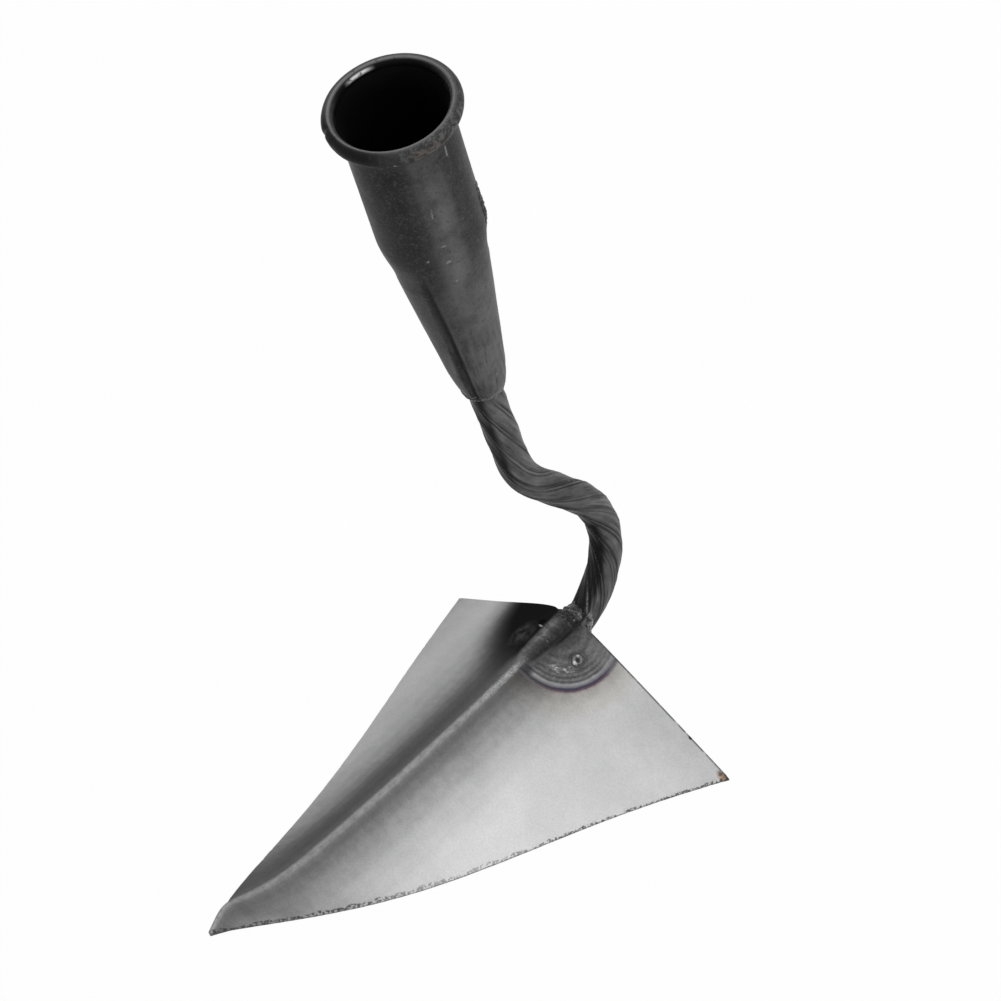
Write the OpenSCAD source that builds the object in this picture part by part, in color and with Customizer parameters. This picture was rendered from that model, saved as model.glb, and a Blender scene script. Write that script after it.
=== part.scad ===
// Warren hoe head: folded arrowhead blade, twisted gooseneck bar and swaged handle socket.
// Lengths are millimetres. The origin is on the socket's axis where its straight bore begins, just inside
// the rolled mouth. +Z points out of the mouth, towards the handle, and +X points towards the blade's tip.

/* [Socket] */
// Radius of the straight bore that takes the handle
bore_r = 14.25; // [12:0.25:18]
// Depth of the straight bore
bore_l = 46; // [35:1:70]
// Wall of the tube
wall_t = 1.5; // [1:0.1:2.2]
// Radius of the rolled bead round the mouth
bead_r = 2.8; // [2:0.1:4]
// Length of the shoulder below the straight bore
shoulder_l = 18; // [8:1:25]
// Outer radius where the shoulder meets the cone
shoulder_r = 13.4; // [12.5:0.1:15]
// Length of the cone, from the shoulder to the nose
cone_l = 43; // [25:1:60]
// Outer radius where the cone meets the nose
cone_r = 9; // [8.8:0.1:11]
// Length of the nose, which closes on the bar
nose_l = 17; // [12:1:25]
// Outer radius of the nose at its end
nose_r = 6.4; // [6.3:0.1:7.8]
// Depth of the pleat pressed into the cone, where the nose begins
pleat_d = 1.4; // [0.5:0.1:1.6]
// Radius of the pleat's rounded bottom
pleat_r = 1.3; // [0.8:0.1:2]
// Direction of the pleat round the socket, from +X towards +Y
pleat_angle = 34; // [0:1:359]

/* [Neck bar] */
// Thickness of the bar across its flats
bar_af = 10; // [8:0.1:10.6]
// Sharpness of the bar's six corners, which are eased
bar_edge = 12; // [6:1:20]
// Length of the bar held inside the nose
bar_in_l = 22; // [18:1:40]
// Length over which the twist makes one full turn
twist_pitch = 95; // [60:1:200]
// Length of plain bar between the end of the twist and the tongue
plain_l = 9; // [0:1:20]
// Length of the straight part below the nose
neck_l = 33; // [20:1:45]
// Lean of that straight part, towards the back
neck_lean = 2.5; // [0:0.5:6]
// Radius of the first bend
bend1_r = 39; // [25:1:60]
// Heading of the bar between the bends, from straight down
bend_angle = 31; // [15:1:45]
// Length of the straight part between the bends
swan_l = 23.4; // [12:0.2:40]
// Radius of the bend that turns the bar down again
bend2_r = 42; // [25:1:60]
// Radius of the bend that turns the bar forwards
bend3_r = 32; // [22:1:45]
// Heading at which the bend tightens
tight_angle = 54; // [40:1:70]
// Radius of the tight bend before the blade
bend4_r = 17; // [15:1:26]
// Length of the tapered tongue under the blade
tongue_l = 22; // [12:1:32]
// Thickness of the tongue's end, as a share of the bar
tongue_taper = 0.6; // [0.4:0.05:1]

/* [Blade] */
// Length of the blade from its back edge to its tip
blade_l = 153.9; // [110:0.1:200]
// Width of the blade at its back edge
blade_w = 118.4; // [90:0.1:150]
// Width of the blunt point
tip_w = 1.6; // [0.8:0.1:4]
// Thickness of the plate
blade_t = 1.8; // [1.2:0.1:2.4]
// Thickness left at the sharpened cutting edges
edge_t = 0.6; // [0.3:0.1:1.1]
// Width of the bevel that thins the plate to its cutting edges
bevel_w = 7; // [3:0.5:12]
// How far the back corners hang below the ridge
wing_drop = 39.4; // [25:0.1:48]
// How far the tip stands above the back end of the ridge
tip_rise = 12.7; // [4:0.1:20]
// Sag of the cutting edges below a straight line
edge_sag = 7; // [0:0.5:10]
// Outward bow of the cutting edges, as a share of their width
edge_bow = 0.47; // [0:0.01:0.8]
// Hollow of each wing across its width
wing_hollow = 1.5; // [0:0.1:3]
// Rounding of the fold at the back, where it wraps the bar
fold_back = 7.2; // [6.6:0.1:9]
// Rounding of the fold towards the tip
fold_front = 2.1; // [1.6:0.1:4]
// Distance from the back edge at which the fold has half narrowed
fold_half_l = 24; // [22:1:50]
// Side drift of the ridge near the tip
ridge_drift = 10.4; // [0:0.1:14]
// Distance from the tip over which the ridge drifts
drift_l = 36.4; // [20:0.1:60]
// How far the back edge reaches behind the bar's last bend
back_overhang = 1.7; // [0.5:0.1:1.9]

/* [Welds] */
// Height of the weld ring round the bar at the nose
nose_weld_h = 1.6; // [0.8:0.1:3]
// Width of the weld along the socket's seam
seam_w = 3.2; // [2:0.1:5]
// Height of the seam weld above the tube
seam_h = 0.8; // [0.4:0.1:0.9]
// Length of the seam weld
seam_l = 20; // [10:1:24]
// Distance of the seam weld's middle above the end of the straight bore
seam_up = 5; // [5:1:15]
// Direction of the seam round the socket, from +X towards +Y
seam_angle = 137; // [0:1:359]
// Length along the bar of the nugget behind the blade's ridge
crown_l = 6.5; // [4:0.5:12]
// Thickness of the nugget
crown_t = 1.9; // [1:0.1:3]
// Half of the angle that the nugget spans round the bar
crown_span = 50; // [25:1:55]
// Length along the bar of the welds beside the nugget
toe_l = 5.5; // [3:0.5:10]
// Thickness of the welds beside the nugget
toe_t = 1.5; // [0.8:0.1:2]
// Angle that each of these welds spans round the bar
toe_span = 46; // [20:1:55]
// Length of the fillet welds under the wings
fillet_l = 17; // [8:1:19]
// Leg of the fillet welds under the wings
fillet_leg = 4; // [2.5:0.1:5.5]
// Radius of the spot weld on the right wing
spot_r = 2.3; // [1.5:0.1:3]
// Height of the spot weld
spot_h = 0.7; // [0.4:0.1:1.5]
// Distance of the spot weld ahead of the blade's back edge
spot_x = 9.5; // [6:0.5:20]
// Distance of the spot weld from the middle of the blade
spot_y = 11.5; // [9:0.5:20]

/* [Hidden] */
fit_gap = 0.2;            // clearance between seated pieces
toe_start = 4;            // angle between the nugget and the welds beside it
ridge_gap = 0.4;          // clearance between the tongue and the underside of the ridge
tube_r = bore_r + wall_t;
cone_z = -bore_l - shoulder_l;
nose_z = cone_z - cone_l;
end_z = nose_z - nose_l;
bar_r = bar_af / 2;
bar_corners = 6;
corner_step = 360 / bar_corners;
bar_corner_r = bar_section(corner_step / 2);
hole_r = bar_corner_r + fit_gap;
$fn = 64;

// Centreline of the bar. A place on it is [x, z, heading], the heading in degrees from straight down
// towards the tip, and s is the length along the bar from its end inside the socket.
neck_s = bar_in_l;
bend1_s = neck_s + neck_l;
swan_s = bend1_s + bend1_r * (bend_angle - neck_lean) * PI / 180;
bend2_s = swan_s + swan_l;
bend3_s = bend2_s + bend2_r * bend_angle * PI / 180;
bend4_s = bend3_s + bend3_r * tight_angle * PI / 180;
tongue_s = bend4_s + bend4_r * (90 - tight_angle) * PI / 180;
bar_s = tongue_s + tongue_l;
function straight(p, d) = [p[0] + d * sin(p[2]), p[1] - d * cos(p[2]), p[2]];
function bend(p, r, turn) = let (h = p[2] + turn, side = sign(turn))
    [p[0] + side * r * (cos(p[2]) - cos(h)), p[1] - side * r * (sin(h) - sin(p[2])), h];
neck_p = [0, end_z, -neck_lean];
bend1_p = straight(neck_p, neck_l);
swan_p = bend(bend1_p, bend1_r, neck_lean - bend_angle);
bend2_p = straight(swan_p, swan_l);
bend3_p = bend(bend2_p, bend2_r, bend_angle);
bend4_p = bend(bend3_p, bend3_r, tight_angle);
tongue_p = bend(bend4_p, bend4_r, 90 - tight_angle);
function turned(d, r) = d / r * 180 / PI;
function centre(s) =
    s < neck_s ? [0, end_z + neck_s - s, 0] :
    s < bend1_s ? straight(neck_p, s - neck_s) :
    s < swan_s ? bend(bend1_p, bend1_r, -turned(s - bend1_s, bend1_r)) :
    s < bend2_s ? straight(swan_p, s - swan_s) :
    s < bend3_s ? bend(bend2_p, bend2_r, turned(s - bend2_s, bend2_r)) :
    s < bend4_s ? bend(bend3_p, bend3_r, turned(s - bend3_s, bend3_r)) :
    s < tongue_s ? bend(bend4_p, bend4_r, turned(s - bend4_s, bend4_r)) :
    straight(tongue_p, s - tongue_s);

// Section of the bar at angle a from the middle of a flat: a hexagon with eased corners
function flat_share(a, flats) = flats == 0 ? 0 :
    pow(abs(cos(a - (flats - 1) * corner_step)), bar_edge) + flat_share(a, flats - 1);
function bar_section(a) =
    bar_r * pow(flat_share(0, bar_corners / 2) / flat_share(a, bar_corners / 2), 1 / bar_edge);
corner_flat = 5;          // half of the angle that the narrow flat on each corner spans
corner_round = 13;        // angle from the corner to the next point of the section
bar_angles = [for (q = [0:bar_corners - 1], a = [-corner_step / 2, -corner_round, -corner_flat, corner_flat, corner_round])
    (q + 0.5) * corner_step + a];
// The twist ends with a flat facing up under the blade
function twist(s) = 360 * min(0, s - tongue_s + plain_l) / twist_pitch;
function bar_scale(s) = s < tongue_s ? 1 : 1 - (1 - tongue_taper) * pow((s - tongue_s) / tongue_l, 1.5);
// Point at distance r from the centreline; side 0 is the bar's front or top, and 90 its +Y side
function on_bar(s, side, r) = let (p = centre(s))
    [p[0] + r * cos(side) * cos(p[2]), r * sin(side), p[1] + r * cos(side) * sin(p[2])];

// Shape of the blade, by u from 0 at its back edge to 1 at its tip
blade_x = tongue_p[0] - back_overhang;
ridge_z = tongue_p[1] + bar_r + ridge_gap + blade_t;
ridge_power = 2.6;        // how late the ridge rises towards the tip
fold_power = 3;           // how quickly the fold narrows
function half_w(u) = blade_w / 2 * (1 - u) * (1 + edge_bow * pow(u, 3)) + tip_w / 2 * u;
function crest_z(u) = ridge_z + tip_rise * pow(u, ridge_power);
// The sag is greatest at 0.6 of the length, where this share is 1
function sag_share(u) = pow(u / 0.6, 3) * pow((1 - u) / 0.4, 2);
function edge_z(u) = ridge_z - wing_drop + (wing_drop + tip_rise) * u - edge_sag * sag_share(u);
function fold_r(u) = fold_front + (fold_back - fold_front) / (1 + pow(u * blade_l / fold_half_l, fold_power));
function drift(u) = ridge_drift * pow(max(0, 1 - (1 - u) * blade_l / drift_l), 2);
function crest_y(u) = -min(drift(u), half_w(u) * 0.6);
function rounded(d, r) = sqrt(d * d + r * r) - r;
// Height of the plate's top at side y, and of its underside below
function top_z(u, y) =
    let (off = y - crest_y(u), span = half_w(u) - sign(off) * crest_y(u))
    let (q = rounded(off, fold_r(u)) / rounded(span, fold_r(u)))
    crest_z(u) - (crest_z(u) - edge_z(u)) * q - 4 * wing_hollow * sin(180 * u) * q * (1 - q);
tilt_step = 0.1;          // distance over which the slope is taken
function tilt(u, y) = atan((top_z(u, y + tilt_step / 2) - top_z(u, y - tilt_step / 2)) / tilt_step);
function bevel(u) = min(bevel_w, half_w(u) * 0.3);
function plate_t(u, y) = edge_t + (blade_t - edge_t) * min(1, (half_w(u) - abs(y)) / bevel(u));
function under_z(u, y) = top_z(u, y) - plate_t(u, y) / cos(tilt(u, y));
wing_points = 8;
// Sides of the points across one wing, closer together at the fold, up to the bevel and then the edge
function wing_sides(u, side) = let (flat = side * (half_w(u) - bevel(u)) - crest_y(u))
    [for (i = [1:wing_points]) crest_y(u) + flat * pow(i / wing_points, 1.7 - 0.7 * u), side * half_w(u)];
function plate_ring(u) =
    let (x = blade_x + u * blade_l, left = wing_sides(u, -1), last = wing_points)
    let (sides = [for (i = [last:-1:0]) left[i], crest_y(u), each wing_sides(u, 1)])
    [for (y = sides) [x, y, top_z(u, y)], for (i = [len(sides) - 1:-1:0]) [x, sides[i], under_z(u, sides[i])]];

// Solid through rings of points, each ring running the same way. Ends are closed by a fan from the first
// point, or by a strip where the ring's second half runs back beside the first.
module sweep(rings, strip_ends = false) {
    m = len(rings[0]);
    last = (len(rings) - 1) * m;
    sides = [for (i = [0:len(rings) - 2], j = [0:m - 1])
        let (a = i * m + j, b = i * m + (j + 1) % m) each [[a, b, a + m], [b, b + m, a + m]]];
    cap = strip_ends ?
        [for (j = [0:m / 2 - 2]) each [[j, m - 1 - j, j + 1], [j + 1, m - 1 - j, m - 2 - j]]] :
        [for (j = [1:m - 2]) [0, j + 1, j]];
    far_cap = [for (f = cap) [last + f[0], last + f[2], last + f[1]]];
    polyhedron([for (r = rings) each r], [each sides, each cap, each far_cap], convexity = 6);
}

// Bead of weld laid on the bar, from s0 to s1 along it and from angle a0 to a1 round it
module bar_bead(s0, s1, a0, a1, thick) {
    steps = 8;
    edge_share = 0.25;    // thickness at the bead's edges
    function seat(s, a) = bar_section(a - twist(s)) * bar_scale(s) + fit_gap;
    function body(i, j) = edge_share + (1 - edge_share) * sqrt(sin(180 * i / steps) * sin(180 * j / steps));
    sweep([for (i = [0:steps]) let (s = s0 + (s1 - s0) * i / steps) [
        for (j = [0:steps]) let (a = a0 + (a1 - a0) * j / steps) on_bar(s, a, seat(s, a) + thick * body(i, j)),
        for (j = [steps:-1:0]) let (a = a0 + (a1 - a0) * j / steps) on_bar(s, a, seat(s, a))]],
        strip_ends = true);
}

module socket() color([0.26, 0.26, 0.27]) {
    steps = 8;
    nose_bulge = 0.15;
    choke_l = 4;          // length inside over which the cone closes to the bar's hole
    shoulder = [for (k = [0:1 / steps:1])
        [shoulder_r + (tube_r - shoulder_r) * (1 + cos(180 * k)) / 2, -bore_l - shoulder_l * k]];
    nose = [for (k = [0:2 / steps:1])
        [cone_r + (nose_r - cone_r) * k + 4 * nose_bulge * k * (1 - k), nose_z - nose_l * k]];
    rim_steps = 24;
    rim_turn = 360 - acos((bead_r - wall_t) / bead_r);   // from the bore over the bead to the tube
    rim = [for (a = [180:-rim_turn / rim_steps:180 - rim_turn])
        [bore_r + bead_r * (1 + cos(a)), bead_r * sin(a)]];
    difference() {
        rotate_extrude() polygon([each rim, each shoulder, each nose, [hole_r, end_z], [hole_r, nose_z],
            [cone_r - wall_t, nose_z + choke_l], [shoulder_r - wall_t, cone_z], [bore_r, -bore_l]]);
        rotate([0, 0, pleat_angle]) pleat();
    }
}

// The crease left where the tube was gathered down onto the bar
module pleat() {
    top = [(tube_r + shoulder_r) / 2, -bore_l - shoulder_l / 2];
    low = [cone_r - pleat_d, nose_z];
    slope = (top[0] - low[0]) / (top[1] - low[1]);
    end_drop = nose_l * 0.6;
    translate([low[0] - slope * end_drop + pleat_r, 0, low[1] - end_drop])
        rotate([0, atan(slope), 0]) cylinder(r = pleat_r, h = (top[1] - low[1] + end_drop) / cos(atan(slope)));
    translate([top[0] + pleat_r, 0, top[1]]) sphere(pleat_r);
}

module neck_bar() color([0.34, 0.34, 0.35]) {
    ring_step = 3;
    rings = round(bar_s / ring_step);
    sweep([for (i = [0:rings]) let (s = bar_s * i / rings)
        [for (a = bar_angles) on_bar(s, a + twist(s), bar_section(a) * bar_scale(s))]]);
}

module blade() color([0.72, 0.73, 0.75]) {
    stations = 30;
    sweep([for (i = [0:stations]) plate_ring(i / stations)], strip_ends = true);
}

module nose_weld() color([0.5, 0.5, 0.5]) {
    steps = 4;
    rotate_extrude() polygon([[hole_r, end_z],
        for (i = [0:steps]) let (k = 90 * i / steps)
            [hole_r + (nose_r - hole_r) * cos(k), end_z - nose_weld_h * sin(k)]]);
}

// A bead lying along the tube, cut to the tube's round
module seam_weld() color([0.22, 0.21, 0.2]) {
    $fn = 180;
    steps = 6;
    thick_r = seam_w / 2;
    difference() {
        rotate([0, 0, seam_angle]) translate([tube_r + seam_h - thick_r, 0, seam_up - bore_l])
            rotate_extrude() polygon([[0, -seam_l / 2],
                for (k = [1 / steps - 1:1 / steps:1 - 1 / steps])
                    [thick_r * sqrt(cos(90 * k)), seam_l / 2 * sin(90 * k)], [0, seam_l / 2]]);
        translate([0, 0, -bore_l - seam_l]) cylinder(r = tube_r + fit_gap / 2, h = 2 * seam_l);
    }
}

// The nugget ends where its top meets the blade's back edge
crown_s = bend4_s + bend4_r * (acos((back_overhang + fit_gap) / (bend4_r - bar_r - crown_t)) - tight_angle) * PI / 180;

module crown_weld() color([0.55, 0.55, 0.54])
    bar_bead(crown_s - crown_l, crown_s, -crown_span, crown_span, crown_t);

module toe_weld(side) color([0.6, 0.6, 0.6]) {
    start = crown_span + toe_start;
    inner = side > 0 ? start : -start - toe_span;
    bar_bead(crown_s - toe_l, crown_s, inner, inner + toe_span, toe_t);
}

// Fillet between the tongue's flank and the underside of the wing beside it
module under_weld() color([0.4, 0.39, 0.38]) {
    steps = 8;
    start = 1;            // distance ahead of the bar's last bend
    thin = 0.45;          // leg at both ends, as a share of the full one
    sweep([for (i = [0:steps])
        let (d = start + fillet_l * i / steps, x = tongue_p[0] + d, u = (x - blade_x) / blade_l)
        let (y0 = bar_section(90) * bar_scale(tongue_s + d) + fit_gap, leg = fillet_leg * (thin + (1 - thin) * sin(180 * i / steps)))
        let (top = under_z(u, y0) - fit_gap, mid = under_z(u, y0 + leg / 2) - fit_gap, out = under_z(u, y0 + leg) - fit_gap)
        [[x, y0, top - leg], [x, y0, top], [x, y0 + leg / 2, mid], [x, y0 + leg, out],
            [x, y0 + leg * 0.55, (top - leg + out) / 2]]]);
}

module spot_weld() color([0.5, 0.5, 0.52]) {
    u = spot_x / blade_l;
    profile = [[0, 0], [1, 0], [0.92, 0.6], [0.6, 1], [0.35, 0.75], [0, 0.6]];
    translate([blade_x + spot_x, spot_y, top_z(u, spot_y)]) rotate([tilt(u, spot_y), 0, 0])
        translate([0, 0, fit_gap]) rotate_extrude() polygon([for (p = profile) [p[0] * spot_r, p[1] * spot_h]]);
}

socket();
neck_bar();
blade();
nose_weld();
seam_weld();
crown_weld();
toe_weld(-1);  // left_toe_weld
toe_weld(1);  // right_toe_weld
mirror([0, 1, 0]) under_weld();  // left_under_weld
under_weld();  // right_under_weld
spot_weld();
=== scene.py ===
# Warren hoe head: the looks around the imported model. Lengths in the dictionaries are millimetres and
# angles are degrees, unless a note says otherwise.
import math

import bmesh
import bpy
from mathutils import Matrix, Vector, noise


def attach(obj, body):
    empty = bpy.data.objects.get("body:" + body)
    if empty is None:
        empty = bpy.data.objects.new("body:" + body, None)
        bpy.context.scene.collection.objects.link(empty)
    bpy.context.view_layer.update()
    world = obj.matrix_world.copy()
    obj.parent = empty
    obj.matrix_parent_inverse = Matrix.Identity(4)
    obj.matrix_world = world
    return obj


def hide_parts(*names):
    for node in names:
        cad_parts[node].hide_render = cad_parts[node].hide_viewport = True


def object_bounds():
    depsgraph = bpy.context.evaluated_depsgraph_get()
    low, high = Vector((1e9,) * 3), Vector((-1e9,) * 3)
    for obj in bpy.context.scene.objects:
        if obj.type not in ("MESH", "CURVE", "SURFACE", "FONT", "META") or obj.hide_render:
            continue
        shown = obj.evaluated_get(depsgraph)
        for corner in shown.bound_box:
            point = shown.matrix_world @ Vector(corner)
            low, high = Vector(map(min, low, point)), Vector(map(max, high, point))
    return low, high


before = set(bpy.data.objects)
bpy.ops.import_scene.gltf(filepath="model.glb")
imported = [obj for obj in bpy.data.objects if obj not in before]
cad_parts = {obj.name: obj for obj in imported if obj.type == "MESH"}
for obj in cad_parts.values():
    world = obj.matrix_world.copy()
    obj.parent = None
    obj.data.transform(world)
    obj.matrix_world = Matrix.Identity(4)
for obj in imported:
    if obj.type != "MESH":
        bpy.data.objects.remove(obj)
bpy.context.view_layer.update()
mm = 0.001
imagePixels = 1001
scene = bpy.context.scene

print("stage: camera, floor and light")

camera = {
    "place": (451.84, 736.63, 896.92),
    "right": (-0.68262, 0.70267, -0.20073),    # direction of the picture's right side
    "down": (0.65466, 0.46593, -0.59526),      # direction of the picture's lower side
    "focalPixels": 4619.4,                     # focal length in pixels of the square picture
    "sensor": 36.0,
}
studio = {
    "floorDrop": 120.0,        # floor below the blade's corners
    "floorSize": 9000.0,
    "floorGlow": 0.98,         # share of the floor's white that shadows can't darken
    "worldLight": 0.375,       # strength of the soft light from all sides
    "keyPlace": (-250.0, 820.0, 760.0),
    "keySize": 1300.0,
    "keyPower": 4.4,           # watts
    "rimPlace": (-700.0, -300.0, 500.0),
    "rimSize": 500.0,
    "rimPower": 1.4,
    "aim": (40.0, 0.0, -190.0),
}


def makeCamera():
    data = bpy.data.cameras.new("camera")
    data.sensor_width = camera["sensor"]
    data.lens = camera["focalPixels"] * camera["sensor"] / imagePixels
    data.clip_start, data.clip_end = 0.05, 50.0
    right, down = Vector(camera["right"]).normalized(), Vector(camera["down"]).normalized()
    up, back = -down, right.cross(-down)
    turn = Matrix((right, up, back)).transposed().to_4x4()
    eye = bpy.data.objects.new("camera", data)
    eye.matrix_world = Matrix.Translation(Vector(camera["place"]) * mm) @ turn
    scene.collection.objects.link(eye)
    scene.camera = eye


def makeLamp(name, place, size, power):
    data = bpy.data.lights.new(name, "AREA")
    data.shape, data.size, data.energy = "SQUARE", size * mm, power
    lamp = bpy.data.objects.new(name, data)
    lamp.location = Vector(place) * mm
    aim = (Vector(studio["aim"]) - Vector(place)).to_track_quat("-Z", "Y")
    lamp.rotation_euler = aim.to_euler()
    scene.collection.objects.link(lamp)


def mathStep(operation, reflected=False):
    # An operator for Wire, which adds one Math node
    def step(self, other):
        return self.sum(operation, *((other, self) if reflected else (self, other)))
    return step


class Wire:
    # A socket that can be used in sums: each sum adds its Math nodes
    def __init__(self, tree, socket):
        self.tree, self.socket = tree, socket

    def sum(self, operation, *values, clamp=False):
        inputs = dict(enumerate(values))
        return addNode(self.tree, "ShaderNodeMath", {"operation": operation, "use_clamp": clamp}, inputs)

    __add__, __radd__ = mathStep("ADD"), mathStep("ADD", True)
    __sub__, __rsub__ = mathStep("SUBTRACT"), mathStep("SUBTRACT", True)
    __mul__, __rmul__ = mathStep("MULTIPLY"), mathStep("MULTIPLY", True)
    __truediv__, __pow__ = mathStep("DIVIDE"), mathStep("POWER")
    larger = mathStep("MAXIMUM")

    def __abs__(self):
        return self.sum("ABSOLUTE", self)

    def __neg__(self):
        return self * -1.0

    def clamped(self):
        return self.sum("ADD", self, 0.0, clamp=True)

    def level(self, low, high):
        # 0 below low, 1 above high, soft between; low may be the larger
        return addNode(self.tree, "ShaderNodeMapRange", {"interpolation_type": "SMOOTHSTEP"},
                       {"Value": self, "From Min": low, "From Max": high})


def plug(tree, place, value):
    if isinstance(value, Wire):
        tree.links.new(value.socket, place)
    elif hasattr(value, "__len__") and len(value) == 3 and len(place.default_value) == 4:
        place.default_value = (*value, 1.0)
    else:
        place.default_value = value


def setStops(ramp, stops):
    ramp.interpolation = "EASE"
    ramp.elements[0].position, ramp.elements[1].position = stops[0][0], stops[-1][0]
    for at, colour in stops[1:-1]:
        ramp.elements.new(at)
    for element, (at, colour) in zip(ramp.elements, stops):
        element.color = (*colour, 1.0)


def addNode(tree, kind, settings=None, inputs=None, out=0):
    # Any node: its settings first, then the values or links of its sockets
    made = tree.nodes.new(kind)
    for name, value in (settings or {}).items():
        if name == "stops":
            setStops(made.color_ramp, value)
        else:
            setattr(made, name, value)
    for name, value in (inputs or {}).items():
        plug(tree, made.inputs[name], value)
    return Wire(tree, made.outputs[out])


class Finish:
    # A material in the making
    def __init__(self, name, metallic=0.0, specular=0.5):
        self.material = bpy.data.materials.new(name)
        self.material.use_nodes = True
        self.tree = self.material.node_tree
        self.shader = self.tree.nodes["Principled BSDF"]
        self.shader.inputs["Metallic"].default_value = metallic
        self.shader.inputs["Specular IOR Level"].default_value = specular
        self.place = self.node("ShaderNodeTexCoord", out="Object")

    def node(self, kind, settings=None, inputs=None, out=0):
        return addNode(self.tree, kind, settings, inputs, out)

    def axes(self):
        # Object coordinates in millimetres
        wires = [self.node("ShaderNodeSeparateXYZ", None, {"Vector": self.place}, out) for out in "XYZ"]
        return [wire * (1 / mm) for wire in wires]

    def grain(self, size, detail=3.0, roughness=0.5, stretch=None, turn=(0.0, 0.0, 0.0)):
        # Cloudy noise with spots of about this size, from 0 to 1
        place = self.place
        if stretch:
            place = self.node("ShaderNodeMapping", None, {"Vector": place, "Scale": stretch,
                                                          "Rotation": [math.radians(a) for a in turn]})
        return self.node("ShaderNodeTexNoise", None, {"Vector": place, "Scale": 1 / (size * mm),
                                                      "Detail": detail, "Roughness": roughness})

    def laid(self, place, size, stretch):
        # Noise drawn out along the third axis of a place in millimetres
        drawn = self.node("ShaderNodeMapping", None, {"Vector": place, "Scale": (1.0, 1.0, stretch)})
        return self.node("ShaderNodeTexNoise", None, {"Vector": drawn, "Scale": 1 / size, "Detail": 3.0,
                                                      "Roughness": 0.6})

    def vector(self, x, y, z):
        return self.node("ShaderNodeCombineXYZ", None, {"X": x, "Y": y, "Z": z})

    def ramp(self, value, stops):
        return self.node("ShaderNodeValToRGB", {"stops": stops}, {"Fac": value})

    def spot(self, first, second, place, size):
        # 1 at this place of a surface's two coordinates, falling to 0 at about this size
        spread = ((first - place[0]) / size[0]) ** 2 + ((second - place[1]) / size[1]) ** 2
        return spread.level(1.5, 0.1)

    def mix(self, share, first, second, blend="MIX"):
        # The factor and the two colours are inputs 0, 6 and 7, and the colour is output 2
        return self.node("ShaderNodeMix", {"data_type": "RGBA", "blend_type": blend},
                         {0: share, 6: first, 7: second}, 2)

    def times(self, first, second):
        return self.mix(1.0, first, second, "MULTIPLY")

    def between(self, share, low, high):
        # A neutral factor, which this share takes from low to high
        return self.mix(share, (low,) * 3, (high,) * 3)

    def over(self, tone, share, level):
        # The tone with a grey of this screen level laid over this share of it
        return self.mix(share, tone, grey(level))

    def flecked(self, tone, pattern, *marks):
        # Greys laid over a tone by a pattern, each as the pattern's low and high, a share and a level
        for low, high, share, level in marks:
            tone = self.over(tone, pattern.level(low, high) * share, level)
        return tone

    def lightness(self, colour):
        return self.node("ShaderNodeRGBToBW", None, {"Color": colour})

    def attribute(self, name):
        return self.node("ShaderNodeAttribute", {"attribute_name": name}, None, "Fac")

    def bump(self, height, strength, distance):
        return self.node("ShaderNodeBump", None, {"Height": height, "Strength": strength,
                                                  "Distance": distance * mm})

    def feed(self, **sockets):
        names = {"colour": "Base Color", "roughness": "Roughness", "metallic": "Metallic",
                 "normal": "Normal"}
        for name, value in sockets.items():
            plug(self.tree, self.shader.inputs[names[name]], value)
        return self.material


def grey(level):
    # A neutral colour from a screen level of 0 to 255
    share = level / 255
    linear = share / 12.92 if share <= 0.04045 else ((share + 0.055) / 1.055) ** 2.4
    return (linear, linear, linear)


def shown(red, green, blue):
    return (grey(red)[0], grey(green)[0], grey(blue)[0])


def greys(span, stops, gain=1.0):
    # Stops of a ramp from places along this span and screen levels, all made lighter by the gain
    return [(at / span, tuple(gain * part for part in grey(level))) for at, level in stops]


def factors(*stops):
    # Stops of a ramp of neutral factors
    return [(at, (level,) * 3) for at, level in stops]


def directRays(tree):
    # 1 for what the camera sees, also in a reflection or through glass
    camRay, glossy, through = (addNode(tree, "ShaderNodeLightPath", out=name) for name in
                               ("Is Camera Ray", "Is Glossy Ray", "Is Transmission Ray"))
    return camRay.larger(glossy).larger(through)


def floorWhite():
    finish = Finish("paleFloor")
    tree = finish.tree
    seen = directRays(tree) * studio["floorGlow"]
    speckle = finish.grain(400.0)
    finish.feed(colour=finish.between(speckle, 0.84, 0.86), roughness=0.9)
    glow = finish.node("ShaderNodeEmission", None, {"Color": (1.0, 1.0, 1.0), "Strength": 1.0})
    mixer = finish.node("ShaderNodeMixShader", None, {"Fac": seen})
    tree.links.new(finish.shader.outputs[0], mixer.socket.node.inputs[1])
    tree.links.new(glow.socket, mixer.socket.node.inputs[2])
    tree.links.new(mixer.socket, tree.nodes["Material Output"].inputs["Surface"])
    return finish.material


def makeFloor():
    bm = bmesh.new()
    bmesh.ops.create_grid(bm, x_segments=1, y_segments=1, size=studio["floorSize"] / 2)
    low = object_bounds()[0].z / mm - studio["floorDrop"]
    bmesh.ops.translate(bm, verts=bm.verts, vec=(0.0, 0.0, low))
    mesh = bpy.data.meshes.new("floor")
    bm.to_mesh(mesh)
    bm.free()
    mesh.transform(Matrix.Scale(mm, 4))
    mesh.materials.append(floorWhite())
    floor = bpy.data.objects.new("floor", mesh)
    scene.collection.objects.link(floor)


def makeWorld():
    world = bpy.data.worlds.new("softRoom")
    scene.world = world
    world.use_nodes = True
    tree = world.node_tree
    strength = studio["worldLight"] + directRays(tree) * (1 - studio["worldLight"])
    background = tree.nodes["Background"]
    background.inputs["Color"].default_value = (1.0, 1.0, 1.0, 1.0)
    plug(tree, background.inputs["Strength"], strength)


scene.view_settings.view_transform = "Standard"
makeCamera()
makeFloor()
makeWorld()
makeLamp("key", studio["keyPlace"], studio["keySize"], studio["keyPower"])
makeLamp("rim", studio["rimPlace"], studio["rimSize"], studio["rimPower"])


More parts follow.
